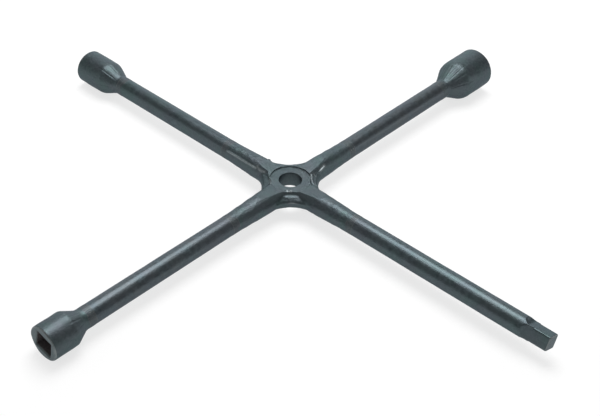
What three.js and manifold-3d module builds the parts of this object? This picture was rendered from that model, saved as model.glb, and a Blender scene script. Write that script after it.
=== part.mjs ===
// Four-way lug wrench for lorry and van wheel nuts, in millimetres, +Z up.
// The origin is the middle of the hub's eye. The four arms lie in the XY plane:
// +X square drive, +Y large hexagon socket, -X medium hexagon socket, -Y square socket.
import * as THREE from "three";
import { mergeVertices } from "three/addons/utils/BufferGeometryUtils.js";
import Module from "manifold-3d";

const wasm = await Module();
wasm.setup();

// ---- Driving dimensions ----
const INCH = 25.4;
const ARM_REACH = 337; // hub centre to the end of every arm
const BAR_R = (7 / 16) * INCH; // 7/8 inch round bar
const JOINT_GAP = 0.3; // clearance between pieces that touch

const HUB_JOINT = 92; // hub centre to the butt joint between stub and bar
const STUB_ROOT_R = 12.9;
const STUB_OVERLAP = 2; // each stub starts this far inside the eye, and the eye is cut after it
const STUB_TAPER_START = 44;
const STUB_TAPER_WAIST = 0.6; // the taper's curve falls this far below a straight line at its start
const STUB_TAPER_EASE = 15; // length over which the taper blends in at each end
const WEB_HALF_THICKNESS = 9.2;
const WEB_EDGE_ROUND = 6;
const WEB_ARM_HALF_WIDTH = 12.3;
const WEB_CROTCH_REACH = 30.6; // hub centre to the outline halfway between two arms
const EYE_R = 12.4;
const EYE_CHAMFER = 0.4;
const SPOT_FACE_R = 22;
const SPOT_FACE_Z = 8.8;
const SPOT_STEP = 0.8;
const SPOT_STEP_RUN = 0.5;
const RAMP_END_R = 37; // the arms' tops come down to the spot face along a ramp that starts here
const RAMP_CLEARANCE = 0.1; // the ramp's cutter ends this far above the stubs

const GROOVE_LAND_R = 5; // flat root face left in the middle of a bevelled bar end
const GROOVE_WIDTH = 5; // length of the bevel along the bar
const BEAD_CROWN = 0.25;

const DRIVE_SIDE = 15.8; // across the flats of the square drive
const DRIVE_CORNER_R = 10.5; // distance from the axis to the drive's rounded corners
const DRIVE_START = 313; // where the flats reach their full depth
const DRIVE_SHOULDER = 317; // where the corners step down from the bar
const DRIVE_SHOULDER_SLOPE = 1; // half the length of that step
const DRIVE_RUNOUT_R = 10.5;
const DRIVE_TIP_ROUND = 1.6;
const DRIVE_ROLL = -20; // degrees about the bar

const LEAD_IN_DEPTH = 4; // the hexagon sockets' 45 degree lead-in cone
const LEAD_IN_WIDTH = 0.6; // how far the cone reaches beyond the hexagon's corners at the mouth
const DRILL_CLEARANCE = 0.4; // between the cavity's wall and the drill point at its bottom

const ROUND_SIDES = 40;
const ARC_STEPS = 4;
const BEYOND = 5; // cutters reach this far past the surface they cut

const NECK_LENGTH = 3; // straight neck between the weld's groove and the shoulder

// Each socket: where its neck leaves the bar, where its shoulder reaches full size, its cavity.
const LARGE_SOCKET = {
  outerR: 24.2, neckEnd: 270.8, shoulderEnd: 294.6, neckRound: 4, shoulderRound: 15, rimChamfer: 1.2,
  sides: 6, acrossFlats: (21 / 16) * INCH + 0.3, depth: 32, roll: 0,
};
const MEDIUM_SOCKET = {
  outerR: 19.8, neckEnd: 278.8, shoulderEnd: 298.6, neckRound: 5, shoulderRound: 14, rimChamfer: 1.2,
  sides: 6, acrossFlats: (17 / 16) * INCH + 0.3, depth: 28, roll: 0,
};
const SQUARE_SOCKET = {
  outerR: 18.8, neckEnd: 293, shoulderEnd: 307.5, neckRound: 10, shoulderRound: 5, rimChamfer: 1.8,
  sides: 4, acrossFlats: (13 / 16) * INCH + 0.2, depth: 26, roll: -12,
};

// ---- Colours and finishes ----
const steel = (color, roughness) =>
  new THREE.MeshStandardMaterial({ color, roughness, metalness: 0.85 });

// ---- Solid helpers ----
const degrees = THREE.MathUtils.degToRad;

// A closed three.js geometry as a solid that can be joined and cut.
function solid(geometry) {
  const bare = geometry.index ? geometry.toNonIndexed() : geometry.clone();
  bare.deleteAttribute("normal");
  bare.deleteAttribute("uv");
  const merged = mergeVertices(bare, 1e-4);
  return new wasm.Manifold(
    new wasm.Mesh({
      numProp: 3,
      vertProperties: merged.attributes.position.array,
      triVerts: new Uint32Array(merged.index.array),
    }),
  );
}

// A named mesh from a solid, flat shaded.
function piece(name, body, material) {
  const made = body.getMesh();
  const indexed = new THREE.BufferGeometry();
  indexed.setAttribute("position", new THREE.BufferAttribute(made.vertProperties, 3));
  indexed.setIndex(new THREE.BufferAttribute(made.triVerts, 1));
  const geometry = indexed.toNonIndexed();
  geometry.computeVertexNormals();
  const mesh = new THREE.Mesh(geometry, material);
  mesh.name = name;
  return mesh;
}

// A solid of revolution about +Y from [radius, distance] points, from the axis back to the axis.
function turned(points, sides = ROUND_SIDES) {
  return solid(new THREE.LatheGeometry(points.map(([r, d]) => new THREE.Vector2(r, d)), sides));
}

// Points on a quarter of a rounding between two lines that meet at a corner.
function rounding(before, corner, after, radius) {
  const [p, c, q] = [before, corner, after].map(([x, y]) => new THREE.Vector2(x, y));
  const toP = p.clone().sub(c).normalize();
  const toQ = q.clone().sub(c).normalize();
  const half = Math.acos(toP.dot(toQ)) / 2;
  const reach = radius / Math.tan(half);
  const curve = new THREE.QuadraticBezierCurve(
    c.clone().addScaledVector(toP, reach),
    c,
    c.clone().addScaledVector(toQ, reach),
  );
  return curve.getPoints(ARC_STEPS).map((v) => [v.x, v.y]);
}

// A prism along +Y with a regular section, flats facing +Z and -Z before it is rolled.
function prism(sides, acrossFlats, from, to, roll) {
  const cornerR = acrossFlats / 2 / Math.cos(Math.PI / sides);
  const geometry = new THREE.CylinderGeometry(cornerR, cornerR, to - from, sides);
  geometry.rotateY(Math.PI / sides + degrees(roll));
  geometry.translate(0, (from + to) / 2, 0);
  return solid(geometry);
}

// ---- Butt joints, bevelled for a weld ----
// The end of a bar or stub: a small flat land, then a bevel out to the surface.
// side is +1 for the piece that lies beyond the joint, -1 for the piece before it.
function bevelledEnd(joint, side) {
  const land = joint + (side * JOINT_GAP) / 2;
  const inward = [[0, land], [GROOVE_LAND_R, land], [BAR_R, land + side * GROOVE_WIDTH]];
  return side > 0 ? inward : inward.reverse();
}

// The ring of weld metal that fills the groove.
function weldBead(joint) {
  const slope = GROOVE_WIDTH / (BAR_R - GROOVE_LAND_R);
  const clearance = JOINT_GAP * Math.hypot(1, slope) - JOINT_GAP / 2;
  const rootR = GROOVE_LAND_R + clearance / slope;
  const halfWidth = GROOVE_WIDTH - clearance;
  return turned([
    [rootR, joint],
    [BAR_R, joint - halfWidth],
    [BAR_R + BEAD_CROWN, joint - halfWidth / 2],
    [BAR_R + BEAD_CROWN, joint + halfWidth / 2],
    [BAR_R, joint + halfWidth],
    [rootR, joint],
  ]);
}

// ---- Hub forging ----
function hubWeb() {
  const inset = WEB_EDGE_ROUND;
  const halfWidth = WEB_ARM_HALF_WIDTH - inset;
  const crotchR = (WEB_CROTCH_REACH - Math.SQRT2 * WEB_ARM_HALF_WIDTH) / (Math.SQRT2 - 1);
  const centre = WEB_ARM_HALF_WIDTH + crotchR;
  const outline = new THREE.Shape();
  for (let quarter = 0; quarter < 4; quarter += 1) {
    const turn = (quarter * Math.PI) / 2;
    const corner = new THREE.Vector2(centre, halfWidth).rotateAround(new THREE.Vector2(), turn);
    const middle = new THREE.Vector2(centre, centre).rotateAround(new THREE.Vector2(), turn);
    if (quarter === 0) outline.moveTo(corner.x, corner.y);
    else outline.lineTo(corner.x, corner.y);
    outline.absarc(middle.x, middle.y, crotchR + inset, turn - Math.PI / 2, turn - Math.PI, true);
  }
  const geometry = new THREE.ExtrudeGeometry(outline, {
    depth: 2 * (WEB_HALF_THICKNESS - inset),
    bevelThickness: inset,
    bevelSize: inset,
    bevelSegments: ARC_STEPS,
    curveSegments: 6,
  });
  geometry.translate(0, 0, inset - WEB_HALF_THICKNESS);
  return solid(geometry);
}

function hubStub() {
  const bevel = bevelledEnd(HUB_JOINT, -1);
  const taperEnd = bevel[0][1];
  const taper = new THREE.CubicBezierCurve(
    new THREE.Vector2(STUB_ROOT_R, STUB_TAPER_START),
    new THREE.Vector2(STUB_ROOT_R - STUB_TAPER_WAIST, STUB_TAPER_START + STUB_TAPER_EASE),
    new THREE.Vector2(BAR_R, taperEnd - STUB_TAPER_EASE),
    new THREE.Vector2(BAR_R, taperEnd),
  );
  const tapered = taper.getPoints(ARC_STEPS).map((v) => [v.x, v.y]);
  const inner = EYE_R - STUB_OVERLAP;
  return turned([[0, inner], [STUB_ROOT_R, inner], ...tapered, ...bevel.slice(1)]);
}

function hubForging() {
  let body = hubWeb();
  const stub = hubStub();
  for (let quarter = 0; quarter < 4; quarter += 1) body = body.add(stub.rotate([0, 0, quarter * 90]));
  // Round spot face about the eye: flat floor, small step, then the ramp up to the arms' tops.
  const above = STUB_ROOT_R + BEYOND;
  const cutter = turned([
    [0, SPOT_FACE_Z],
    [SPOT_FACE_R, SPOT_FACE_Z],
    [SPOT_FACE_R + SPOT_STEP_RUN, SPOT_FACE_Z + SPOT_STEP],
    [RAMP_END_R, STUB_ROOT_R + RAMP_CLEARANCE],
    [RAMP_END_R, above],
    [0, above],
  ]);
  body = body.subtract(cutter.rotate([90, 0, 0])).subtract(cutter.rotate([-90, 0, 0]));
  const mouth = SPOT_FACE_Z - EYE_CHAMFER;
  const eye = turned([
    [0, -above],
    [EYE_R + above - mouth, -above],
    [EYE_R, -mouth],
    [EYE_R, mouth],
    [EYE_R + above - mouth, above],
    [0, above],
  ]);
  return body.subtract(eye.rotate([90, 0, 0]));
}

// ---- Bars ----
function plainBar(outerJoint) {
  return turned([...bevelledEnd(HUB_JOINT, 1), ...bevelledEnd(outerJoint, -1)]);
}

// One flat of the drive, as the block of metal that is taken away, with a curved run-out.
function flatCutter(turns) {
  const side = DRIVE_SIDE / 2;
  const beyond = ARM_REACH + BEYOND;
  const height = DRIVE_RUNOUT_R;
  const block = new THREE.Shape();
  block.moveTo(side, DRIVE_START);
  block.lineTo(side, beyond);
  block.lineTo(side + height, beyond);
  block.lineTo(side + height, DRIVE_START - DRIVE_RUNOUT_R);
  block.absarc(side + height, DRIVE_START, DRIVE_RUNOUT_R, -Math.PI / 2, -Math.PI, true);
  const width = 3 * BAR_R;
  const geometry = new THREE.ExtrudeGeometry(block, {
    depth: width, bevelEnabled: false, curveSegments: 6,
  });
  geometry.translate(0, 0, -width / 2);
  geometry.rotateY(turns * (Math.PI / 2) + degrees(DRIVE_ROLL));
  return solid(geometry);
}

function driveBar() {
  const tip = [
    [BAR_R, DRIVE_SHOULDER - DRIVE_SHOULDER_SLOPE],
    [DRIVE_CORNER_R, DRIVE_SHOULDER + DRIVE_SHOULDER_SLOPE],
    ...rounding(
      [DRIVE_CORNER_R, DRIVE_START], [DRIVE_CORNER_R, ARM_REACH], [0, ARM_REACH], DRIVE_TIP_ROUND,
    ),
    [0, ARM_REACH],
  ];
  let body = turned([...bevelledEnd(HUB_JOINT, 1), ...tip]);
  for (let turns = 0; turns < 4; turns += 1) body = body.subtract(flatCutter(turns));
  return body;
}

// ---- Sockets ----
const socketJoint = (spec) => spec.neckEnd - NECK_LENGTH - GROOVE_WIDTH - JOINT_GAP / 2;

function socket(spec) {
  const neck = [BAR_R, spec.neckEnd];
  const shoulder = [spec.outerR, spec.shoulderEnd];
  const rim = [spec.outerR, ARM_REACH];
  const start = bevelledEnd(socketJoint(spec), 1);
  const beforeNeck = start[2];
  let body = turned([
    ...start,
    ...rounding(beforeNeck, neck, shoulder, spec.neckRound),
    ...rounding(neck, shoulder, rim, spec.shoulderRound),
    [spec.outerR, ARM_REACH - spec.rimChamfer],
    [spec.outerR - spec.rimChamfer, ARM_REACH],
    [0, ARM_REACH],
  ]);
  const floor = ARM_REACH - spec.depth;
  const inner = spec.acrossFlats / 2;
  const cornerR = inner / Math.cos(Math.PI / spec.sides);
  const cavity = prism(spec.sides, spec.acrossFlats, floor, ARM_REACH + BEYOND, spec.roll);
  const drillPoint = turned([
    [0, floor - inner / 2], [inner - DRILL_CLEARANCE, floor], [inner - DRILL_CLEARANCE, floor + 1],
    [0, floor + 1],
  ]);
  const leadIn = turned([
    [0, ARM_REACH - LEAD_IN_DEPTH],
    [cornerR + LEAD_IN_WIDTH - LEAD_IN_DEPTH, ARM_REACH - LEAD_IN_DEPTH],
    [cornerR + LEAD_IN_WIDTH + BEYOND, ARM_REACH + BEYOND],
    [0, ARM_REACH + BEYOND],
  ]);
  body = body.subtract(cavity).subtract(drillPoint);
  return spec.sides === 6 ? body.subtract(leadIn) : body;
}

// ---- Assembly ----
const wrench = new THREE.Group();
const hubSteel = steel(0x3d474c, 0.45);
const barSteel = steel(0x3b464b, 0.38);
const socketSteel = steel(0x39444a, 0.42);
const weldSteel = steel(0x4a5256, 0.55);

wrench.add(piece("hub_forging", hubForging(), hubSteel.clone()));

const arms = [
  { turn: -90, bar: "drive_bar" },
  { turn: 0, bar: "large_socket_bar", socketName: "large_hex_socket", spec: LARGE_SOCKET },
  { turn: 90, bar: "medium_socket_bar", socketName: "medium_hex_socket", spec: MEDIUM_SOCKET },
  { turn: 180, bar: "square_socket_bar", socketName: "square_hole_socket", spec: SQUARE_SOCKET },
];

arms.forEach(({ turn, bar, socketName, spec }, index) => {
  const arm = new THREE.Group();
  arm.rotation.z = degrees(turn);
  arm.add(piece(`hub_weld_${index + 1}`, weldBead(HUB_JOINT), weldSteel.clone()));
  if (spec) {
    const joint = socketJoint(spec);
    arm.add(piece(bar, plainBar(joint), barSteel.clone()));
    arm.add(piece(`socket_weld_${index}`, weldBead(joint), weldSteel.clone()));
    arm.add(piece(socketName, socket(spec), socketSteel.clone()));
  } else {
    arm.add(piece(bar, driveBar(), barSteel.clone()));
  }
  wrench.add(arm);
});

export default wrench;
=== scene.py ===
# %% [markdown]
# # A four-way lug wrench
# This lesson dresses the CAD model of a four-way wheel wrench. The real wrench is a forged steel
# hub with an eye in its middle. Four round bars are welded to the hub, three of them carry a
# forged socket, and the fourth is worked down to a square drive. All of it is blackened steel.
# The CAD model comes in first, as a frame that stays where it is, and every piece made here
# takes the place of one CAD node.

# %% Load the frame
import math

import bmesh
import bpy
from mathutils import Matrix, Vector, noise


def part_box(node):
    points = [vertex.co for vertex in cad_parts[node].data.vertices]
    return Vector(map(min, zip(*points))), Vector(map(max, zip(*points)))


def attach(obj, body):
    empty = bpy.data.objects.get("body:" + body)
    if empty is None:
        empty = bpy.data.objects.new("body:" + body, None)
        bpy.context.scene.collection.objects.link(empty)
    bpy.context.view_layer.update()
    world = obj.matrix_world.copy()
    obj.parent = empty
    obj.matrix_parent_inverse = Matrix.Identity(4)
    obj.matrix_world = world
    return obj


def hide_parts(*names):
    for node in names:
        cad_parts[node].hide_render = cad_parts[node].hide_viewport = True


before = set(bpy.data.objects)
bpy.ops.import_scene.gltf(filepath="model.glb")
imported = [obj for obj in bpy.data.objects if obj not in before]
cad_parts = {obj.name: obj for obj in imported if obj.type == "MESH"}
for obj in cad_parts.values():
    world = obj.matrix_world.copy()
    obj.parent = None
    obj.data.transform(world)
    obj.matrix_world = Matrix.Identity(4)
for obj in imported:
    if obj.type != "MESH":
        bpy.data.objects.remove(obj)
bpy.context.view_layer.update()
MM = 0.001
print("CAD nodes:", sorted(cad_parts))

# %% [markdown]
# # Where the arms point
# The hub's eye stands along +Z and the four arms lie along X and Y. Each arm is modelled once
# along +X, where distances are easy to read, and is then turned about the eye to its own
# direction. The turn goes into the mesh, so each object stays at the origin, unturned.

# %% Arm directions and shared sizes
ARM_TURN = {"drive": 0, "large": 90, "medium": 180, "square": 270}
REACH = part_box("drive_bar")[1].x / MM
BAR_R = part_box("large_socket_bar")[1].x / MM
ROUND_STEPS = 96
OVERLAP = 0.6  # pieces run this far into each other, so no slit shows at a joint
JOINT_GAP = 0.15  # half the clearance that the CAD model leaves at a joint
HUB_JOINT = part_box("hub_forging")[1].x / MM + JOINT_GAP
print(f"reach {REACH:.1f} mm, hub joint at {HUB_JOINT:.2f} mm, bar radius {BAR_R:.3f} mm")


def turn_to_arm(bm, arm):
    """Turns a mesh made along +X to its arm, and takes it from millimetres to metres."""
    bmesh.ops.rotate(bm, verts=bm.verts[:], cent=(0, 0, 0),
                     matrix=Matrix.Rotation(math.radians(ARM_TURN[arm]), 3, "Z"))
    bmesh.ops.scale(bm, verts=bm.verts[:], vec=(MM, MM, MM))


# %% [markdown]
# # Turning a profile
# Bars, sockets and weld rings are round, so each is a lathe shape: a half outline, spun once
# round the bar's axis. The corners of the outline are rounded first, with a vertex bevel, since
# no edge of a forged or machined part is perfectly sharp, and a rounded edge catches the light.

# %% Profile and spin helpers
def outline(bm, corners):
    """Draws the half outline. A corner is (distance, radius) or (distance, radius, rounding)."""
    verts = [bm.verts.new((c[0], c[1], 0)) for c in corners]
    for a, b in zip(verts, verts[1:]):
        bm.edges.new((a, b))
    for corner, vert in zip(corners, verts):
        if len(corner) > 2:
            bmesh.ops.bevel(bm, geom=[vert], offset=corner[2], offset_type="OFFSET", segments=6,
                            profile=0.5, affect="VERTICES", material=-1)


def ring_spacing(bm, start, end, spacing):
    """Adds points to the outline between two distances, so that later steps can shape it."""
    for edge in bm.edges[:]:
        xs = [v.co.x for v in edge.verts]
        cuts = int(edge.calc_length() / spacing)
        if cuts and max(xs) > start and min(xs) < end:
            bmesh.ops.subdivide_edges(bm, edges=[edge], cuts=cuts)


def lathe(bm, steps=ROUND_STEPS, axis=(1, 0, 0)):
    """Spins the outline round an axis, the bar's own unless told, into a closed solid."""
    bmesh.ops.spin(bm, geom=bm.verts[:] + bm.edges[:], cent=(0, 0, 0), axis=axis,
                   dvec=(0, 0, 0), angle=math.tau, steps=steps, use_merge=True,
                   use_normal_flip=False, use_duplicate=False)
    bmesh.ops.remove_doubles(bm, verts=bm.verts[:], dist=1e-4)
    bmesh.ops.recalc_face_normals(bm, faces=bm.faces[:])


def unevenness(bm, amount, size, seed):
    """Moves the surface in and out by a slow noise, as hot forging and rolling leave it."""
    bm.normal_update()
    moves = [v.normal * amount * noise.noise(v.co / size + Vector((seed, seed, seed)))
             for v in bm.verts]
    for vert, move in zip(bm.verts, moves):
        vert.co += move


def off_axis(vert):
    """How far a point of a piece made along +X lies from the piece's axis."""
    return math.hypot(vert.co.y, vert.co.z)


def scale_off_axis(vert, factor):
    """Moves a point straight away from the axis, or towards it."""
    vert.co.y *= factor
    vert.co.z *= factor


def finish_piece(bm, name, arm=None, sharp=38):
    """Turns a bmesh into a smooth-shaded object, with its real edges kept sharp."""
    if arm:
        turn_to_arm(bm, arm)
    mesh = bpy.data.meshes.new(name)
    bm.to_mesh(mesh)
    bm.free()
    mesh.shade_smooth()
    mesh.set_sharp_from_angle(angle=math.radians(sharp))
    made = bpy.data.objects.new(name, mesh)
    bpy.context.scene.collection.objects.link(made)
    print(f"{name}: {len(mesh.polygons)} faces")
    return made


# %% [markdown]
# # The plain bars
# Three arms are lengths of 22 mm round bar, hot rolled, so they are round but not perfectly
# even. A cylinder with two ends would shade like plastic tube. Rings every few millimetres let
# a slow noise bend the highlight a little, the way it wanders along a real bar.

# %% Plain bars
RING_GAP = 2.5
ROLLED = (0.09, 26)  # how far a rolled bar wanders, and over what length
bars = {}
for seed, arm in enumerate(("large", "medium", "square"), 3):
    low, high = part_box(f"{arm}_socket_bar")
    outer = max(abs(c) for c in (low.x, low.y, high.x, high.y)) / MM
    bm = bmesh.new()
    outline(bm, [(HUB_JOINT - OVERLAP, 0), (HUB_JOINT - OVERLAP, BAR_R),
                 (outer + OVERLAP, BAR_R), (outer + OVERLAP, 0)])
    ring_spacing(bm, HUB_JOINT, outer, RING_GAP)
    lathe(bm)
    unevenness(bm, *ROLLED, seed)
    bars[arm] = finish_piece(bm, f"{arm}_arm_bar", arm)
    print(f"{arm} bar runs from {HUB_JOINT:.1f} to {outer:.1f} mm")

# %% [markdown]
# # The square drive
# The fourth bar ends in a square that carries a loose socket. On the real bar four flats are
# milled, each with a hollow run-out where the cutter left the steel, and the corners step down
# from the bar at a small shoulder. The bar is spun with many fine rings, and then each point
# outside a flat is pulled in to it. That keeps one clean mesh, where a cut with four blocks
# would leave long thin faces.

# %% Drive bar
DRIVE_HALF = 7.9
DRIVE_CORNER_R = 10.5
DRIVE_START = 313
DRIVE_SHOULDER = 316.6
DRIVE_RUNOUT_R = 10.5
DRIVE_EDGE_BLEND = 0.9  # how far the flats and the round corners run into each other
DRIVE_TIP_ROUND = 1.3
DRIVE_ROLL = -20
DRIVE_RING_GAP = 0.5
DRIVE_STEPS = 192
DRIVE_DOME = 0.2  # the sawn end is hammered slightly round
DRIVE_SWELL = 0.3  # the bar's end spreads a little before the shoulder


def soft_min(a, b, blend):
    """The smaller of two lengths, with the corner between them rounded over."""
    near = max(blend - abs(a - b), 0) / blend
    return min(a, b) - near * near * blend / 4


def flat_height(distance):
    """How far a flat lies from the axis: full depth, run-out towards the bar, rounded tip."""
    back = DRIVE_START - distance
    if back > 0:
        rise = DRIVE_RUNOUT_R - math.sqrt(max(DRIVE_RUNOUT_R ** 2 - back ** 2, 0))
        return DRIVE_HALF + rise
    into = max(distance - (REACH - DRIVE_DOME - DRIVE_TIP_ROUND), 0)
    drop = math.sqrt(DRIVE_TIP_ROUND ** 2 - min(into, DRIVE_TIP_ROUND) ** 2)
    return DRIVE_HALF - DRIVE_TIP_ROUND + drop


def mill_flats(bm):
    """Pulls each point that stands outside a flat in to it, and leaves the end's middle alone."""
    for vert in bm.verts:
        radius = off_axis(vert)
        if vert.co.x < DRIVE_START - DRIVE_RUNOUT_R or radius < 1:
            continue
        around = math.degrees(math.atan2(vert.co.z, vert.co.y)) - DRIVE_ROLL
        off_flat = math.radians((around + 45) % 90 - 45)
        flat = flat_height(vert.co.x) / math.cos(off_flat)
        scale_off_axis(vert, soft_min(radius, flat, DRIVE_EDGE_BLEND) / radius)


bm = bmesh.new()
outline(bm, [(HUB_JOINT - OVERLAP, 0), (HUB_JOINT - OVERLAP, BAR_R),
             (DRIVE_SHOULDER - 7, BAR_R, 2), (DRIVE_SHOULDER - 0.4, BAR_R + DRIVE_SWELL, 0.5),
             (DRIVE_SHOULDER + 0.7, DRIVE_CORNER_R, 0.4),
             (REACH - DRIVE_DOME, DRIVE_CORNER_R, DRIVE_TIP_ROUND),
             (REACH - DRIVE_DOME * 0.25, DRIVE_CORNER_R / 2, 2), (REACH, 0)])
ring_spacing(bm, HUB_JOINT, DRIVE_START - DRIVE_RUNOUT_R, RING_GAP)
ring_spacing(bm, DRIVE_START - DRIVE_RUNOUT_R, REACH, DRIVE_RING_GAP)
lathe(bm, DRIVE_STEPS)
unevenness(bm, *ROLLED, 7)
mill_flats(bm)
bars["drive"] = finish_piece(bm, "drive_arm_bar", "drive")

# %% [markdown]
# # The sockets
# Each socket is forged on the end of its bar: a neck, a swelling shoulder, a straight wall, and
# a cavity that takes a wheel nut. The outside and the cavity are one outline, spun once. Then
# the cavity's points move outwards from the circle to the hexagon or square. The hexagon
# sockets have a round lead-in cone at the mouth, so their points move only where the hexagon is
# wider than the cone. The square socket has a small chamfer that follows the square.

# %% Socket helpers
CAVITY_CORNER_R = 0.9
LEAD_SLOPE = math.tan(math.radians(40))
PUNCH_ROUND = 1.2  # the punch that opens the cavity has a rounded end and a blunt point
PUNCH_POINT = 5
SOCKET_STEPS = 240
SOCKET_RING_GAP = 0.8


def hole_radius(angle, half, sides):
    """Distance from the axis to a regular hole's wall at an angle, with rounded corners."""
    sector = math.pi / sides
    off_flat = (angle + sector) % (2 * sector) - sector
    centre = (half - CAVITY_CORNER_R) / math.cos(sector)
    if abs(off_flat) < math.atan2(centre * math.sin(sector), half):
        return half / math.cos(off_flat)
    off_corner = sector - abs(off_flat)
    return centre * math.cos(off_corner) + math.sqrt(
        max(CAVITY_CORNER_R ** 2 - (centre * math.sin(off_corner)) ** 2, 0))


def make_socket(outside, sides, half, depth, roll, lead):
    """Spins a socket's outline along +X, then opens its cavity to the hole's shape."""
    bottom = REACH - depth
    root = outside[0][0]
    bm = bmesh.new()
    outline(bm, [(root - OVERLAP, 0), (root - OVERLAP, outside[0][1]), *outside,
                 (REACH, half + lead, 0.3), (REACH - lead / LEAD_SLOPE, half, 0.2),
                 (bottom, half, 0.5), (bottom - PUNCH_ROUND, half * 0.82, 0.6),
                 (bottom - PUNCH_POINT, 0)])
    ring_spacing(bm, root + 4, REACH, SOCKET_RING_GAP)
    lathe(bm, SOCKET_STEPS)
    mouth, rim = half + lead + 0.3, outside[-1][1] - outside[-1][2]
    for vert in bm.verts:
        radius = off_axis(vert)
        if vert.co.x < bottom - PUNCH_ROUND / 2 or radius > rim or radius < half - 0.4:
            continue
        angle = math.atan2(vert.co.z, vert.co.y) - math.radians(roll)
        wall = hole_radius(angle, half, sides)
        if sides == 6:
            wanted = max(radius, wall)
        else:  # the flat face round a square hole makes room for its corners
            fade = min(max((rim - radius) / (rim - mouth), 0), 1)
            wanted = radius + (wall - half) * fade
        scale_off_axis(vert, wanted / radius)
    return bm


# Angles round the socket where the dies left a line. Real marks keep no even spacing.
MARK_SPOTS = (4, 31, 55, 79, 92, 103, 112, 131, 158, 193, 226, 249, 261, 284, 311, 338)


def press_marks(bm, start, end, depth):
    """Presses shallow lines along the shoulder, where the forming dies closed on it."""
    for vert in bm.verts:
        radius = off_axis(vert)
        along = (vert.co.x - start) / (end - start)
        if radius < BAR_R - 1 or not 0 < along < 1:
            continue
        angle = math.degrees(math.atan2(vert.co.z, vert.co.y)) % 360
        press = 0
        for index, spot in enumerate(MARK_SPOTS):
            lean = spot + (index % 3 - 1) * 3 * along
            off = (angle - lean + 180) % 360 - 180
            width = 0.5 + 0.35 * (index % 4) / 3
            strength = 1 - 0.3 * (index % 2)
            press += math.exp(-(math.radians(off) * radius / width) ** 2) * strength
        scale_off_axis(vert, 1 - depth * press * math.sin(math.pi * along) ** 0.5 / radius)


# %% Sockets
SOCKET_NODE = {"large": "large_hex_socket", "medium": "medium_hex_socket",
               "square": "square_hole_socket"}


def inner_end(node):
    """Where a node starts along its arm, in millimetres from the hub's middle."""
    low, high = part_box(node)
    return min(abs(c) for c in (low.x, low.y, high.x, high.y) if abs(c) > 0.1) / MM


SOCKET_START = {arm: inner_end(node) for arm, node in SOCKET_NODE.items()}
print("sockets start at", SOCKET_START)

# For each socket: the outside corners beyond the bar, the cavity (sides, half its width, depth,
# roll, lead-in), the forming marks (start, end, depth) and its broad and fine unevenness.
SOCKETS = {
    "large": ([(270.8, BAR_R, 1.0), (294.6, 24.2, 4), (REACH, 24.2, 1.2)],
              (6, 16.82, 32, 90, 3.2), (272, 304, 0.42), (0.3, 0.08)),
    "medium": ([(278.8, BAR_R, 1.0), (298.6, 19.8, 3.0), (REACH, 19.8, 1.2)],
               (6, 13.65, 28, 90, 2.6), (280, 304, 0.34), (0.28, 0.07)),
    "square": ([(293, BAR_R, 2.5), (307.5, 18.8, 1.2), (REACH, 18.8, 1.8)],
               (4, 10.42, 26, -12, 1.3), (296, 312, 0.26), (0.24, 0.07))}
sockets = {}
for seed, (arm, (outside, cavity, marks, uneven)) in enumerate(SOCKETS.items(), 11):
    bm = make_socket([(SOCKET_START[arm], BAR_R), *outside], *cavity)
    press_marks(bm, *marks)
    unevenness(bm, uneven[0], 12, seed)
    unevenness(bm, uneven[1], 4, seed + 3)
    sockets[arm] = finish_piece(bm, f"{arm}_nut_socket", arm)

# %% [markdown]
# # The welds
# Where two pieces meet, both ends are bevelled and the V between them is filled with weld
# metal, then dressed almost flush. A ring with a low crown is spun into each groove. A small
# wave round it is what stays of the weld's ripples after dressing.

# %% Weld rings
WELD_HALF = 4.6
WELD_DEPTH = 1.2
WELD_CROWN = 0.14
WELD_STEPS = 240
RIPPLES = 46


def weld_ring(name, arm, joint, seed):
    """Spins one ring of weld metal, then lets its ripples and its edges wander a little."""
    left, right = joint - WELD_HALF, joint + WELD_HALF
    root, edge = BAR_R - WELD_DEPTH, BAR_R + 0.02
    bm = bmesh.new()
    outline(bm, [(left, root), (left, edge), (joint, BAR_R + WELD_CROWN, 3.2), (right, edge),
                 (right, root), (left, root)])
    ring_spacing(bm, left, right, 0.7)
    lathe(bm, WELD_STEPS)
    for vert in bm.verts:
        across = (vert.co.x - joint) / WELD_HALF
        radius = off_axis(vert)
        if radius < BAR_R - 0.5:
            continue
        angle = math.atan2(vert.co.z, vert.co.y)
        wander = 0.5 * noise.noise(Vector((math.cos(angle) * 2, math.sin(angle) * 2, seed)))
        swell = math.sin(RIPPLES * angle + 5 * across * across + 6 * wander)
        rise = (0.055 * swell + 0.12 * wander) * (1 - across * across)
        scale_off_axis(vert, 1 + rise / radius)
        vert.co.x += 0.8 * wander * (1 - abs(across)) + 0.5 * wander
    return finish_piece(bm, name, arm)


welds = {}
for index, arm in enumerate(ARM_TURN):
    welds[f"hub_{arm}"] = weld_ring(f"hub_bead_{arm}", arm, HUB_JOINT, 1.7 * index)
for index, arm in enumerate(SOCKET_START):
    joint = SOCKET_START[arm] - JOINT_GAP
    welds[f"socket_{arm}"] = weld_ring(f"socket_bead_{arm}", arm, joint, 9 + 2.3 * index)

# %% [markdown]
# # The forged hub
# The hub is one forging. Four tapered stubs run into a thick web with hollow crotches. Sharp
# solids come first: a plate, with four hollows cut by shaped wheels and the eye cut through it,
# and four spun stubs that overlap it. A voxel remesh then fuses them into one skin, and a little
# smoothing rounds the joins, as hot steel fills a die. A boolean union would leave a sharp seam
# at every join. The faced ring and the eye are machined on the real forging, so they are made
# true after the remesh.

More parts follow.
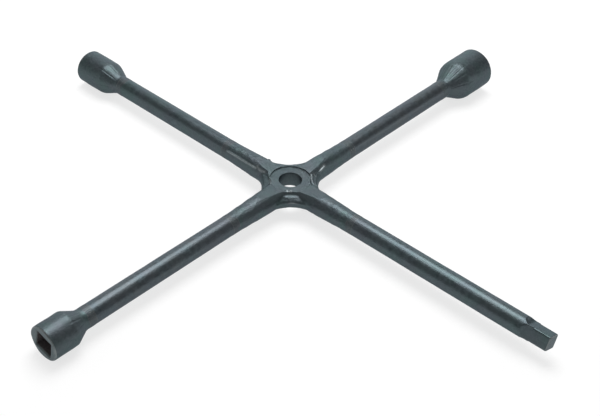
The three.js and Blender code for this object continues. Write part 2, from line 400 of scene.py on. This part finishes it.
# %% Hub sizes and helpers
STUB_ROOT_R = 12.9
STUB_START = 13.2
STUB_TAPER = (44, 87)
STUB_ROUND = 8
WEB_TOP = 9.9
WEB_HALF = 12.3
CROTCH_R = 31.9
CROTCH_CENTRE = WEB_HALF + CROTCH_R
CROTCH_REACH = math.hypot(CROTCH_CENTRE, CROTCH_CENTRE)
WHEEL_STEPS = 128


def evaluated_mesh(made):
    """A new mesh of an object as it looks with its modifiers, or as a curve's tube."""
    bpy.context.view_layer.update()
    seen = made.evaluated_get(bpy.context.evaluated_depsgraph_get())
    return bpy.data.meshes.new_from_object(seen)


def apply_modifiers(target):
    """Makes what the modifiers show the object's own mesh."""
    mesh = evaluated_mesh(target)
    target.modifiers.clear()
    target.data = mesh


def cut_away(target, cutter):
    """Cuts another object's shape out of the target, and drops that object."""
    step = target.modifiers.new("cut", "BOOLEAN")
    step.operation, step.solver, step.object = "DIFFERENCE", "EXACT", cutter
    apply_modifiers(target)
    bpy.data.objects.remove(cutter)


def add_solid(target, bm):
    """Puts one more closed solid, in millimetres, into the target's mesh. The solids overlap
    until the remesh makes one skin of them."""
    bmesh.ops.scale(bm, verts=bm.verts[:], vec=(MM, MM, MM))
    bm.from_mesh(target.data)
    bm.to_mesh(target.data)
    bm.free()


def blank(bm, name):
    """A plain object from a mesh in millimetres, for the hub and for what cuts it."""
    bmesh.ops.scale(bm, verts=bm.verts[:], vec=(MM, MM, MM))
    mesh = bpy.data.meshes.new(name)
    bm.to_mesh(mesh)
    bm.free()
    made = bpy.data.objects.new(name, mesh)
    bpy.context.scene.collection.objects.link(made)
    return made


def stand_profile(bm, centre):
    """Spins an outline drawn as (distance, height) round an upright axis through centre."""
    lathe(bm, WHEEL_STEPS, axis=(0, 1, 0))
    bmesh.ops.rotate(bm, verts=bm.verts[:], cent=(0, 0, 0),
                     matrix=Matrix.Rotation(math.pi / 2, 3, "X"))
    bmesh.ops.translate(bm, verts=bm.verts[:], vec=(*centre, 0))


# %% Web plate with its hollows and eye
def crotch_wheel(lip, edge, ledge):
    """The section between two arms, from the top lip down to the underside, as reaches from
    the hub's centre along the diagonal. The front hollow has a ledge, the others slope."""
    upper = [(lip + 0.1, 14), (lip, WEB_TOP)]
    if ledge:
        upper += [(lip + 0.3, 8.6), (lip + 2.0, 6.1), (edge - 5.0, 4.8), (edge - 1.5, 2.4),
                  (edge, 0.2)]
    else:
        upper += [(lip + 0.6, 8.4), (lip + 2.4, 7.2), (edge - 2.8, 5.5), (edge - 0.8, 2.3),
                  (edge, -0.8)]
    lower = [(edge - 0.2, -2.6), (edge - 1.8, -6.2), (edge - 4.6, -8.6), (25.0, -WEB_TOP),
             (24.6, -14)]
    return [(CROTCH_REACH - reach, height) for reach, height in upper + lower]


bm = bmesh.new()
bmesh.ops.create_cube(bm, size=1)
bmesh.ops.scale(bm, verts=bm.verts[:], vec=(2 * CROTCH_CENTRE, 2 * CROTCH_CENTRE, 2 * WEB_TOP))
hub = blank(bm, "forged_hub_body")
FRONT = (1, -1)
LIP_AND_EDGE = {FRONT: (20.6, 30.4), (-1, -1): (20.8, 31.0), (1, 1): (20.8, 31.0),
                (-1, 1): (25.6, 31.0)}
for (sx, sy), (lip, edge) in LIP_AND_EDGE.items():
    bm = bmesh.new()
    section = crotch_wheel(lip, edge, ledge=(sx, sy) == FRONT)
    outline(bm, [(0, section[0][1]), *section, (0, section[-1][1])])
    stand_profile(bm, (sx * CROTCH_CENTRE, sy * CROTCH_CENTRE))
    cut_away(hub, blank(bm, "wheel"))
EYE_R = 12.4
bm = bmesh.new()
bmesh.ops.create_cone(bm, cap_ends=True, segments=WHEEL_STEPS, radius1=EYE_R, radius2=EYE_R,
                      depth=60)
cut_away(hub, blank(bm, "eye"))

# %% Stubs
for arm in ARM_TURN:
    bm = bmesh.new()
    outline(bm, [(STUB_START, 0), (STUB_START, STUB_ROOT_R), (STUB_TAPER[0], STUB_ROOT_R, STUB_ROUND),
                 (STUB_TAPER[1], BAR_R, STUB_ROUND), (HUB_JOINT, BAR_R), (HUB_JOINT, 0)])
    lathe(bm)
    bmesh.ops.rotate(bm, verts=bm.verts[:], cent=(0, 0, 0),
                     matrix=Matrix.Rotation(math.radians(ARM_TURN[arm]), 3, "Z"))
    add_solid(hub, bm)
print("hub solids span", [round(c / MM, 1) for c in hub.dimensions])

# %% [markdown]
# Forging leaves small marks that clean solids lack: thin ridges where the dies met and the
# flash was trimmed, and small lumps at the roots. They are added as tubes and balls before the
# remesh, which melts them into the skin. Their places are easier to judge from where one stands,
# so they are given as right, away and up from the hub's middle, seen from the front corner.

# %% Ridges and lumps
RIGHT = Vector((0.7299, 0.6835, 0))
AWAY = Vector((-0.6835, 0.7299, 0))
# Each ridge is its radius and the points of its line. Each lump is its place and its radius.
RIDGES = [(1.0, [(-37, 28, 10.4), (-32, 21.5, 9.6), (-28, 16, 8.6), (-23.4, 11, 9.1),
                 (-22.6, 2, 8.6)]),
          (0.85, [(-29.5, 25.5, 10.0), (-29.8, 18.5, 9.2), (-30.2, 14, 6.8), (-28.6, 8, 4.4)]),
          (0.95, [(-36.3, 19.8, 7.2), (-53.5, 36.5, 7.0), (-70.5, 53.5, 6.4)]),
          (0.6, [(22.5, 17, 9.3), (23.8, 10, 8.4), (23.2, 2, 8.2), (25.2, -5, 6.6), (30.5, -10, 4.9)]),
          (0.55, [(38, 25.5, 9.0), (33, 18.5, 7.7), (27.5, 12, 5.0), (26.8, 4, 4.5)]),
          (0.5, [(-9, -24.6, 5.2), (-2, -26.2, 4.9), (-1, -29.2, 2.6), (4, -30, 0.6), (13, -30.5, 0.2)]),
          (0.5, [(-8, -29.6, -1.5), (0, -30.1, -2.4), (10, -29.9, -3.0)])]
LUMPS = [((-22.3, -7.6, 8.6), 0.8), ((22.4, -7.4, 8.6), 0.8), ((-1.6, -20.4, 8.4), 0.9),
         ((-23.6, 37.2, 5.2), 2.5), ((24.6, 21.4, 9.4), 1.0), ((21.8, -12.4, 8.3), 0.8)]


def hub_point(right, away, up):
    """The place that lies this far right, away and up from the hub's middle."""
    return RIGHT * right + AWAY * away + Vector((0, 0, up))


def ridge_mesh(radius, path):
    """A round ridge along a smooth line, as a closed tube."""
    line = bpy.data.curves.new("ridge", "CURVE")
    line.dimensions, line.bevel_depth, line.bevel_resolution = "3D", radius * MM, 3
    line.resolution_u, line.use_fill_caps = 6, True
    spline = line.splines.new("NURBS")
    spline.points.add(len(path) - 1)
    spline.use_endpoint_u, spline.order_u = True, 3
    for point, where in zip(spline.points, path):
        point.co = (*(hub_point(*where) * MM), 1)
    ridge = bpy.data.objects.new("ridge", line)
    bpy.context.scene.collection.objects.link(ridge)
    mesh = evaluated_mesh(ridge)
    bpy.data.objects.remove(ridge)
    return mesh


for radius, path in RIDGES:
    bm = bmesh.new()
    bm.from_mesh(ridge_mesh(radius, path))
    bmesh.ops.scale(bm, verts=bm.verts[:], vec=(1 / MM,) * 3)
    add_solid(hub, bm)
for where, radius in LUMPS:
    bm = bmesh.new()
    bmesh.ops.create_icosphere(bm, subdivisions=3, radius=radius,
                               matrix=Matrix.Translation(hub_point(*where)))
    add_solid(hub, bm)

# %% Fuse into one skin
VOXEL = 0.6 * MM
fuse = hub.modifiers.new("fuse", "REMESH")
fuse.mode, fuse.voxel_size, fuse.use_smooth_shade = "VOXEL", VOXEL, True
relax = hub.modifiers.new("relax", "SMOOTH")
relax.factor, relax.iterations = 0.5, 4
apply_modifiers(hub)
print("hub skin faces", len(hub.data.polygons))

# %% [markdown]
# The faced rings and the eye are machined, so they are flat and true. On this dense skin the
# cutter can be a rule: a point that stands above the face is pressed down to it, and a point
# that stands inside the eye is pushed out to its wall. The roots of the arms are pressed flat
# the same way, by a plane that climbs from the ring to the round of the arm. A few burrs stay
# where the facing cutter broke out into a hollow.

# %% Faced rings, pressed roots, burrs and eye
EYE_CHAMFER = 0.4
EYE_CLEAN = 0.35  # skin this close to the eye's wall is drawn to it
FACE_R = 22.6
FACE_Z = 8.8
ROOT_START = 0.75 * FACE_R
ROOT_END = 50
ROOT_END_Z = 12.35
BURRS = [hub_point(right, away, 0) for right, away in
         ((-3.2, -19.2), (0.8, -19.6), (-20.9, -6.4), (20.6, -5.6), (13.4, 14.2))]
BURR_HEIGHT = 0.55
BURR_SIZE = 0.9
ROOT_STEP = {1: 0.15, -1: 1.0}  # how far a root stands above the ring, front and back arms


def press_hub(bm):
    """Trues the faced rings, the roots and the eye, and leaves the burrs standing."""
    for vert in bm.verts:
        co = vert.co
        out = math.hypot(co.x, co.y)
        along = max(abs(co.x), abs(co.y))
        front = 1 if co.x - co.y > 0 else -1
        if out < FACE_R:
            limit = FACE_Z
        else:
            start = FACE_Z + ROOT_STEP[front]
            climb = min((along - ROOT_START) / (ROOT_END - ROOT_START), 1)
            limit = start + (ROOT_END_Z - start) * climb
        if along < ROOT_END and abs(co.z) > limit:
            co.z = math.copysign(limit, co.z)
            for burr in BURRS:
                off = (Vector((co.x, co.y, 0)) - burr).length
                co.z += math.copysign(BURR_HEIGHT, co.z) * math.exp(-(off / BURR_SIZE) ** 2)
        chamfer_start = FACE_Z - EYE_CHAMFER
        wall = EYE_R + max(abs(co.z) - chamfer_start, 0)
        if out < wall or (out < EYE_R + EYE_CLEAN and abs(co.z) < chamfer_start):
            co.x *= wall / out
            co.y *= wall / out


# %% [markdown]
# The trimmed flash and the burrs were touched by a grinder, so less of the black is left on
# them. The lighter grey along these lines, and along a streak on the medium arm's stub, is also
# a painted highlight that stands in for the glints that light makes on the ridges and burrs. How
# much each point is rubbed and painted light is kept in an attribute, and the material reads it.

# %% Rubbed lines with painted highlight, and the hub's finished mesh
# Each line is how wide it is, how strongly it is rubbed and painted light, and the points
# that it runs through.
RUB_AND_HIGHLIGHT_LINES = [(1.1, 0.9, [(-74, 55, 6.6), (-53.5, 35.0, 7.4), (-38, 20.5, 8.2)]),
             (1.3, 0.8, [(-36, 22.5, 9.2), (-33.5, 17, 7.8), (-28, 13, 8.6)]),
             (0.7, 0.6, [(-22.9, 9.5, 8.8), (-23, 5.9, 7.4), (-21.2, -6.9, 8.6)]),
             (0.8, 0.6, [(21, 17.5, 9.4), (22.4, 9.5, 8.4), (22.8, 1.4, 7.6), (25, -2, 6.6),
                         (28.6, -6.3, 5.2)]),
             (0.7, 0.5, [(24.1, 13.4, 8.8), (28, 10, 5.8)]),
             (1.8, 0.7, [(33.2, 19.8, 7.6), (35.3, 23.1, 8.4), (37.4, 26.5, 9.2)]),
             (0.8, 1.0, [(-3.4, -18.6, 8.8), (-3.0, -20.6, 8.4)]),
             (0.8, 1.0, [(0.6, -18.8, 8.8), (0.9, -20.8, 8.4)]),
             (0.7, 0.5, [(-9, -29.2, -0.6), (2, -30, 0.4), (13, -29.6, 0.2)]),
             (0.6, 0.4, [(-6, -29.4, -3.2), (10, -29.0, -4.0)])]
RUB_AND_HIGHLIGHT_SEGMENTS = [(width, level, hub_point(*a), hub_point(*b))
                for width, level, path in RUB_AND_HIGHLIGHT_LINES for a, b in zip(path, path[1:])]
RUB_AND_HIGHLIGHT_LOWEST = -6  # the lines all lie on the upper side


def rub_and_highlight_level(point):
    """How much a point is rubbed and painted light, from its distance to the nearest such line."""
    best = 0
    if point.z < RUB_AND_HIGHLIGHT_LOWEST:
        return 0.0
    for width, level, a, b in RUB_AND_HIGHLIGHT_SEGMENTS:
        span = b - a
        share = min(max((point - a).dot(span) / span.length_squared, 0), 1)
        off = (point - a - span * share).length_squared / (width * width)
        if off < 4:
            best = max(best, level * math.exp(-off))
    return best


bm = bmesh.new()
bm.from_mesh(hub.data)
bmesh.ops.scale(bm, verts=bm.verts[:], vec=(1 / MM,) * 3)
unevenness(bm, 0.3, 9, 21)
unevenness(bm, 0.14, 3.5, 22)
press_hub(bm)
rub_and_highlight_levels = [rub_and_highlight_level(v.co) for v in bm.verts]
bmesh.ops.scale(bm, verts=bm.verts[:], vec=(MM,) * 3)
bm.to_mesh(hub.data)
bm.free()
# The attribute holds the grinder's rubbing and a painted highlight along the same lines.
hub.data.attributes.new("rub_and_highlight", "FLOAT", "POINT").data.foreach_set("value", rub_and_highlight_levels)
print("rubbed points:", sum(level > 0 for level in rub_and_highlight_levels))
hub.data.shade_smooth()
hub.data.set_sharp_from_angle(angle=math.radians(42))
print("hub faces", len(hub.data.polygons))

# %% [markdown]
# # Shared surface effects
# Every part of the wrench has the same history: forged or rolled, then blackened hot in oil.
# Four effects come from that, and each is a node group that gives out values only, so all the
# materials can share it. Blotches are the patchy colour of the oxide, scale is the fine pitted
# skin, drawn lines are the faint streaks along a bar, and worn edges show where handling has
# rubbed the black down to grey steel. The same group also marks which hollows are drawn darker.

# %% Node group helpers
def new_group(name, inputs, outputs):
    """A node group from (label, kind, default) inputs and (label, kind) outputs."""
    group = bpy.data.node_groups.new(name, "ShaderNodeTree")
    for label, kind, default in inputs:
        socket = group.interface.new_socket(label, in_out="INPUT", socket_type=kind)
        if default is not None:
            socket.default_value = default
    for label, kind in outputs:
        group.interface.new_socket(label, in_out="OUTPUT", socket_type=kind)
    return group, group.nodes.new("NodeGroupInput"), group.nodes.new("NodeGroupOutput")


def add_node(tree, kind, **settings):
    """A node with its inputs or its settings filled in by name."""
    node = tree.nodes.new(kind)
    for key, value in settings.items():
        if key in node.inputs:
            node.inputs[key].default_value = value
        else:
            setattr(node, key, value)
    return node


def feed(tree, socket, value):
    """Links another node's output to an input, or writes a fixed value there."""
    if isinstance(value, bpy.types.NodeSocket):
        tree.links.new(value, socket)
    else:
        socket.default_value = value


def math_node(tree, operation, a, b):
    """One step of arithmetic on two values."""
    node = add_node(tree, "ShaderNodeMath", operation=operation)
    feed(tree, node.inputs[0], a)
    feed(tree, node.inputs[1], b)
    return node.outputs[0]


def remap(tree, value, low, high, to_low=0.0, to_high=1.0):
    """Stretches the range from low to high over the new range, and clamps beyond it."""
    node = tree.nodes.new("ShaderNodeMapRange")
    labels = ("Value", "From Min", "From Max", "To Min", "To Max")
    for label, given in zip(labels, (value, low, high, to_low, to_high)):
        feed(tree, node.inputs[label], given)
    return node.outputs["Result"]


def noise_node(tree, coordinates, scale, detail=4.0, roughness=0.55):
    """A cloudy pattern between 0 and 1."""
    node = add_node(tree, "ShaderNodeTexNoise", Detail=detail, Roughness=roughness)
    feed(tree, node.inputs["Vector"], coordinates)
    feed(tree, node.inputs["Scale"], scale)
    return node.outputs["Fac"]


# %% Oxide blotches
BLOTCHES, gi, go = new_group("oxide_blotches",
                             [("Coordinates", "NodeSocketVector", None),
                              ("Size", "NodeSocketFloat", 60.0)],
                             [("Broad", "NodeSocketFloat"), ("Fine", "NodeSocketFloat")])
broad = noise_node(BLOTCHES, gi.outputs["Coordinates"], gi.outputs["Size"], 3.0)
fine_scale = math_node(BLOTCHES, "MULTIPLY", gi.outputs["Size"], 5.3)
fine = noise_node(BLOTCHES, gi.outputs["Coordinates"], fine_scale, 5.0, 0.6)
BLOTCHES.links.new(remap(BLOTCHES, broad, 0.36, 0.64), go.inputs["Broad"])
BLOTCHES.links.new(remap(BLOTCHES, fine, 0.35, 0.65), go.inputs["Fine"])

# %% Forge scale
SCALE_SKIN, gi, go = new_group("forge_scale",
                               [("Coordinates", "NodeSocketVector", None),
                                ("Size", "NodeSocketFloat", 600.0)],
                               [("Height", "NodeSocketFloat"), ("Pits", "NodeSocketFloat")])
lumps = noise_node(SCALE_SKIN, gi.outputs["Coordinates"], gi.outputs["Size"], 4.0, 0.6)
pit_scale = math_node(SCALE_SKIN, "MULTIPLY", gi.outputs["Size"], 1.7)
cells = add_node(SCALE_SKIN, "ShaderNodeTexVoronoi")
SCALE_SKIN.links.new(gi.outputs["Coordinates"], cells.inputs["Vector"])
SCALE_SKIN.links.new(pit_scale, cells.inputs["Scale"])
pits = remap(SCALE_SKIN, cells.outputs["Distance"], 0.02, 0.22, 1.0, 0.0)
height = math_node(SCALE_SKIN, "SUBTRACT", lumps, math_node(SCALE_SKIN, "MULTIPLY", pits, 0.35))
SCALE_SKIN.links.new(height, go.inputs["Height"])
SCALE_SKIN.links.new(pits, go.inputs["Pits"])

# %% Drawn lines
DRAWN, gi, go = new_group("drawn_lines",
                          [("Coordinates", "NodeSocketVector", None),
                           ("Stretch", "NodeSocketVector", (1.0, 1.0, 1.0))],
                          [("Lines", "NodeSocketFloat")])
stretch = add_node(DRAWN, "ShaderNodeVectorMath", operation="MULTIPLY")
DRAWN.links.new(gi.outputs["Coordinates"], stretch.inputs[0])
DRAWN.links.new(gi.outputs["Stretch"], stretch.inputs[1])
streaks = noise_node(DRAWN, stretch.outputs[0], 1.0, 3.0, 0.6)
DRAWN.links.new(remap(DRAWN, streaks, 0.3, 0.7), go.inputs["Lines"])

# %% Worn edges
WORN, gi, go = new_group("worn_edges",
                         [("Coordinates", "NodeSocketVector", None),
                          ("Start", "NodeSocketFloat", 0.52), ("Full", "NodeSocketFloat", 0.6)],
                         [("Mask", "NodeSocketFloat"), ("Hollow", "NodeSocketFloat")])
shape = WORN.nodes.new("ShaderNodeNewGeometry")
edges = remap(WORN, shape.outputs["Pointiness"], gi.outputs["Start"], gi.outputs["Full"])
clouds = noise_node(WORN, gi.outputs["Coordinates"], 260.0, 4.0, 0.65)
patchy = remap(WORN, clouds, 0.38, 0.62, 0.25, 1.0)
WORN.links.new(math_node(WORN, "MULTIPLY", edges, patchy), go.inputs["Mask"])
# Hollow marks concave spots, where pointiness is low; the materials draw them darker.
WORN.links.new(remap(WORN, shape.outputs["Pointiness"], 0.49, 0.42), go.inputs["Hollow"])
print("node groups:", [g.name for g in bpy.data.node_groups])

# %% [markdown]
# # Blackened steel
# All finishes are the same dark oxide over steel: nearly metallic, dark slate with a breath of
# green and brown, and half matt. One function wires the shared groups into a Principled shader,
# and each finish gives its own values for colour, roughness, scale and wear.

# %% Steel as one function
def mix_colour(tree, factor, a, b):
    """One colour laid over another. A colour is a node's output or three numbers."""
    node = add_node(tree, "ShaderNodeMix", data_type="RGBA")
    feed(tree, node.inputs[0], factor)
    for socket, colour in ((node.inputs[6], a), (node.inputs[7], b)):
        feed(tree, socket, (*colour, 1) if isinstance(colour, tuple) else colour)
    return node.outputs[2]


def use_group(tree, group, coordinates, **values):
    """One of the shared effects, with its inputs filled in by name."""
    node = add_node(tree, "ShaderNodeGroup", node_tree=group)
    feed(tree, node.inputs["Coordinates"], coordinates)
    for key, value in values.items():
        node.inputs[key].default_value = value
    return node


OXIDE_GLINT = (0.5, 0.54, 0.58, 1)
WORN_GREY = (0.30, 0.32, 0.32)
# Grey of the hub's rubbed lines: partly grinder marks, partly a painted highlight.
GROUND_GREY_AND_HIGHLIGHT = (0.30, 0.33, 0.34)
# Colour drawn over concave spots, where pointiness is low.
HOLLOW_DARK = (0.012, 0.013, 0.013)
VIOLET_BREATH = (0.084, 0.090, 0.104)


def steel(name, dark, light, tint, roughness, blotch=60, scale=600, relief=0.00012,
          lines=None, wear=(0.52, 0.6), hollow_darkening=0.6, metallic=0.85, ground_and_highlight=False,
          second_tint=VIOLET_BREATH):
    """Blackened steel. Layers of colour go on in order: oxide from dark to light, two tints,
    pits, worn edges, darkened hollows, and, where the mesh holds them, grinder marks that are
    partly a painted highlight."""
    material = bpy.data.materials.new(name)
    material.use_nodes = True
    tree = material.node_tree
    shader = tree.nodes["Principled BSDF"]
    shader.inputs["Metallic"].default_value = metallic
    shader.inputs["Specular Tint"].default_value = OXIDE_GLINT
    place = tree.nodes.new("ShaderNodeTexCoord").outputs["Object"]
    patches = use_group(tree, BLOTCHES, place, Size=blotch)
    other_patches = use_group(tree, BLOTCHES, place, Size=blotch * 0.7)
    skin = use_group(tree, SCALE_SKIN, place, Size=scale)
    worn = use_group(tree, WORN, place, Start=wear[0], Full=wear[1])
    pit_black = tuple(0.4 * c for c in dark)
    colour = mix_colour(tree, patches.outputs["Fine"], dark, light)
    for mask, share, layer in ((patches.outputs["Broad"], 0.6, tint),
                               (other_patches.outputs["Broad"], 0.5, second_tint),
                               (skin.outputs["Pits"], 0.35, pit_black),
                               (worn.outputs["Mask"], 0.6, WORN_GREY),
                               (worn.outputs["Hollow"], hollow_darkening, HOLLOW_DARK)):
        colour = mix_colour(tree, math_node(tree, "MULTIPLY", mask, share), colour, layer)
    # Lighter grey along the hub's lines: grinder marks and a painted highlight on ridges and burrs.
    if ground_and_highlight:
        level = add_node(tree, "ShaderNodeAttribute", attribute_name="rub_and_highlight").outputs["Fac"]
        uneven = remap(tree, patches.outputs["Fine"], 0, 1, 0.55, 1.0)
        colour = mix_colour(tree, math_node(tree, "MULTIPLY", level, uneven), colour, GROUND_GREY_AND_HIGHLIGHT)
    tree.links.new(colour, shader.inputs["Base Color"])
    rough = remap(tree, patches.outputs["Fine"], 0, 1, roughness - 0.05, roughness + 0.07)
    polish = math_node(tree, "MULTIPLY", worn.outputs["Mask"], 0.08)
    rough = math_node(tree, "SUBTRACT", rough, polish)
    height = skin.outputs["Height"]
    if lines:
        drawn = use_group(tree, DRAWN, place, Stretch=lines).outputs["Lines"]
        height = math_node(tree, "ADD", height, math_node(tree, "MULTIPLY", drawn, 0.5))
        rough = math_node(tree, "ADD", rough, math_node(tree, "MULTIPLY", drawn, 0.05))
    tree.links.new(rough, shader.inputs["Roughness"])
    bump = add_node(tree, "ShaderNodeBump", Strength=1.0, Distance=relief)
    tree.links.new(height, bump.inputs["Height"])
    tree.links.new(bump.outputs["Normal"], shader.inputs["Normal"])
    return material


# %% [markdown]
# Each finish follows from how its piece was made. Rolled bars are the smoothest, and their lines
# run along the arm, so bars along X and along Y need one material each. The punched cavities
# keep a brown, matt skin, and welds are rougher and a little lighter than the bars.

# %% The finishes
SLATE_DARK = (0.053, 0.070, 0.078)
SLATE_LIGHT = (0.088, 0.114, 0.126)
GREEN_BREATH = (0.070, 0.108, 0.104)
BROWN_BREATH = (0.088, 0.096, 0.098)
ALONG, ACROSS = 12.0, 900.0  # drawn lines are long one way and fine the other two
hub_steel = steel("forged_hub_black", SLATE_DARK, SLATE_LIGHT, GREEN_BREATH, 0.36,
                  blotch=80, scale=700, relief=0.0003, ground_and_highlight=True)
bar_steel_x = steel("rolled_bar_black_x", SLATE_DARK, SLATE_LIGHT, GREEN_BREATH, 0.33,
                    blotch=45, scale=900, relief=0.00008, lines=(ALONG, ACROSS, ACROSS))
bar_steel_y = steel("rolled_bar_black_y", SLATE_DARK, SLATE_LIGHT, BROWN_BREATH, 0.33,
                    blotch=45, scale=900, relief=0.00008, lines=(ACROSS, ALONG, ACROSS))
socket_steel = steel("forged_socket_black", SLATE_DARK, (0.092, 0.117, 0.125), GREEN_BREATH, 0.41,
                     blotch=70, scale=700, relief=0.0002)
bore_steel = steel("punched_bore_brown", (0.10, 0.090, 0.090), (0.19, 0.170, 0.168),
                   (0.15, 0.14, 0.145), 0.5, blotch=90, scale=700, relief=0.0002, metallic=0.4,
                   second_tint=(0.15, 0.135, 0.142))
rim_steel = steel("rubbed_rim_grey", (0.095, 0.116, 0.121), (0.165, 0.190, 0.196),
                  (0.125, 0.155, 0.157), 0.42, blotch=90, scale=700, relief=0.0002,
                  wear=(0.505, 0.54), hollow_darkening=0.0, second_tint=(0.135, 0.150, 0.158))
weld_steel = steel("dressed_weld_black", SLATE_DARK, (0.11, 0.13, 0.132), BROWN_BREATH, 0.44,
                   blotch=120, scale=1100, relief=0.00016)


def dress(made, *finishes):
    """Gives a piece its finishes. Faces take the first unless told otherwise."""
    made.data.materials.clear()
    for finish in finishes:
        made.data.materials.append(finish)


dress(hub, hub_steel)
for arm in ("large", "square"):
    dress(bars[arm], bar_steel_y)
dress(bars["medium"], bar_steel_x)
dress(bars["drive"], bar_steel_x, rim_steel)
for socket in sockets.values():
    dress(socket, socket_steel, bore_steel, rim_steel)
for ring in welds.values():
    dress(ring, weld_steel)
print("finishes:", [m.name for m in bpy.data.materials])

# %% [markdown]
# The rims, and the end of the drive, are rubbed against nuts and floors, so less of the black is
# left on them. Each face of a socket is asked which way it looks: towards the axis is cavity,
# along the axis at the end is rim.

# %% Cavity and rim faces take their own finish
CAVITY_START = 0.295
RIM_DEPTH = 2.2 * MM
for arm, made in {**sockets, "drive": bars["drive"]}.items():
    cavity_slot, rim_slot = (None, 1) if arm == "drive" else (1, 2)
    turn = math.radians(ARM_TURN[arm])
    along = Vector((math.cos(turn), math.sin(turn), 0))
    inside = rims = 0
    for face in made.data.polygons:
        distance = face.center.dot(along)
        outward = (face.center - along * distance).normalized()
        if face.normal.dot(along) > 0.3 and distance > REACH * MM - RIM_DEPTH:
            face.material_index = rim_slot
            rims += 1
        elif cavity_slot and face.normal.dot(outward) < -0.2 and distance > CAVITY_START:
            face.material_index = cavity_slot
            inside += 1
    print(f"{arm}: {inside} cavity faces, {rims} rim faces")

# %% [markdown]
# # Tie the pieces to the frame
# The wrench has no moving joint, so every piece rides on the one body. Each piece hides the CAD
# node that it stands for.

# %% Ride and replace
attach(hub, "root")
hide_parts("hub_forging")
for arm, bar in bars.items():
    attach(bar, "root")
    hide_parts("drive_bar" if arm == "drive" else f"{arm}_socket_bar")
for arm, socket in sockets.items():
    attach(socket, "root")
    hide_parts(SOCKET_NODE[arm])
WELD_NODE = {"hub_drive": "hub_weld_1", "hub_large": "hub_weld_2", "hub_medium": "hub_weld_3",
             "hub_square": "hub_weld_4", "socket_large": "socket_weld_1",
             "socket_medium": "socket_weld_2", "socket_square": "socket_weld_3"}
for key, ring in welds.items():
    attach(ring, "root")
    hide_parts(WELD_NODE[key])

# %% [markdown]
# # Floor
# The wrench lies on its three sockets. They have different sizes, so the floor meets them at a
# slight slope, and the drive end stays clear of it. The floor is a sheet of paper, lit so evenly
# that it fades into the wall behind, so part of its white is its own glow.

# %% Floor sheet
FLOOR_SIZE = 14.0
FLOOR_LEVEL = -0.0215
FLOOR_SLOPE = Vector((-0.0050, -0.0080))
bm = bmesh.new()
bmesh.ops.create_grid(bm, x_segments=2, y_segments=2, size=FLOOR_SIZE / 2)
for vert in bm.verts:
    vert.co.z = FLOOR_LEVEL + FLOOR_SLOPE.dot(vert.co.xy)
floor = finish_piece(bm, "paper_floor")
paper = bpy.data.materials.new("paper")
paper.use_nodes = True
paper_shader = paper.node_tree.nodes["Principled BSDF"]
PAPER = {"Base Color": (0.30, 0.30, 0.30, 1), "Emission Color": (1, 1, 1, 1),
         "Emission Strength": 0.72, "Roughness": 0.9, "Specular IOR Level": 0.0}
for label, value in PAPER.items():
    paper_shader.inputs[label].default_value = value
floor.data.materials.append(paper)

# %% [markdown]
# # Light
# Dark, half-matt steel is seen by what it reflects. A round soft lamp overhead gives the
# broad band along the front arms. A wide dim panel behind lights the upper band of the back
# arms, and a low strip under it, at the horizon, lights what leans further back. Two small
# panels at the sides draw the thin lines below.

# %% Lamps
def panel(name, right, away, up, distance, width, height, radiance, shape="RECTANGLE"):
    """A soft lamp that faces the wrench, placed by its direction from it. The radiance is how
    bright its face looks, so a lamp can be resized without changing what it does per area."""
    direction = hub_point(right, away, up).normalized()
    lamp = bpy.data.lights.new(name, "AREA")
    lamp.shape = shape
    lamp.size, lamp.size_y = width, height
    area = width * height * (math.pi / 4 if shape == "DISK" else 1)
    lamp.energy = radiance * math.pi * area
    made = bpy.data.objects.new(name, lamp)
    made.location = direction * distance
    made.rotation_euler = (-direction).to_track_quat("-Z", "Y").to_euler()
    bpy.context.scene.collection.objects.link(made)
    return made


panel("overhead_soft", 0.0, 0.29, 0.95, 1.5, 1.15, 1.15, 6.25, "DISK")
panel("back_panel", 0.0, 0.95, 0.34, 2.4, 3.4, 1.4, 1.3)
panel("horizon_strip", 0.0, 0.99, 0.13, 2.3, 3.4, 0.5, 1.0)
panel("left_panel", -0.98, -0.06, 0.19, 0.88, 0.2, 0.26, 1.6)
panel("right_panel", 0.99, 0.03, 0.11, 0.95, 0.24, 0.26, 2.2)
world = bpy.data.worlds.new("studio")
bpy.context.scene.world = world
world.use_nodes = True
ROOM_GLOW, WALL_WHITE = 0.3, 1.0  # what the steel sees of the room, and what the camera sees
room = world.node_tree
back = room.nodes["Background"]
back.inputs["Color"].default_value = (1, 1, 1, 1)
ray = room.nodes.new("ShaderNodeLightPath")
strength = remap(room, ray.outputs["Is Camera Ray"], 0, 1, ROOM_GLOW, WALL_WHITE)
room.links.new(strength, back.inputs["Strength"])
bpy.context.scene.view_settings.view_transform = "Standard"

# %% [markdown]
# # Camera
# The camera looks down on the wrench from the front right at about forty degrees, with a
# normal lens, and a small lens shift frames it as a product picture would be cropped.

# %% Camera
camera_data = bpy.data.cameras.new("camera")
camera_data.lens, camera_data.sensor_width = 72.07, 36
camera_data.shift_x, camera_data.shift_y = 0.0592, 0.0506
camera = bpy.data.objects.new("camera", camera_data)
camera.location = (0.68204, -0.76725, 0.80580)
camera.rotation_euler = [math.radians(angle) for angle in (49.336, -0.942, 43.927)]
bpy.context.scene.collection.objects.link(camera)
bpy.context.scene.camera = camera

# %% [markdown]
# # Sizes
# The looks keep the CAD model's size.

# %% Update the scene
bpy.context.view_layer.update()
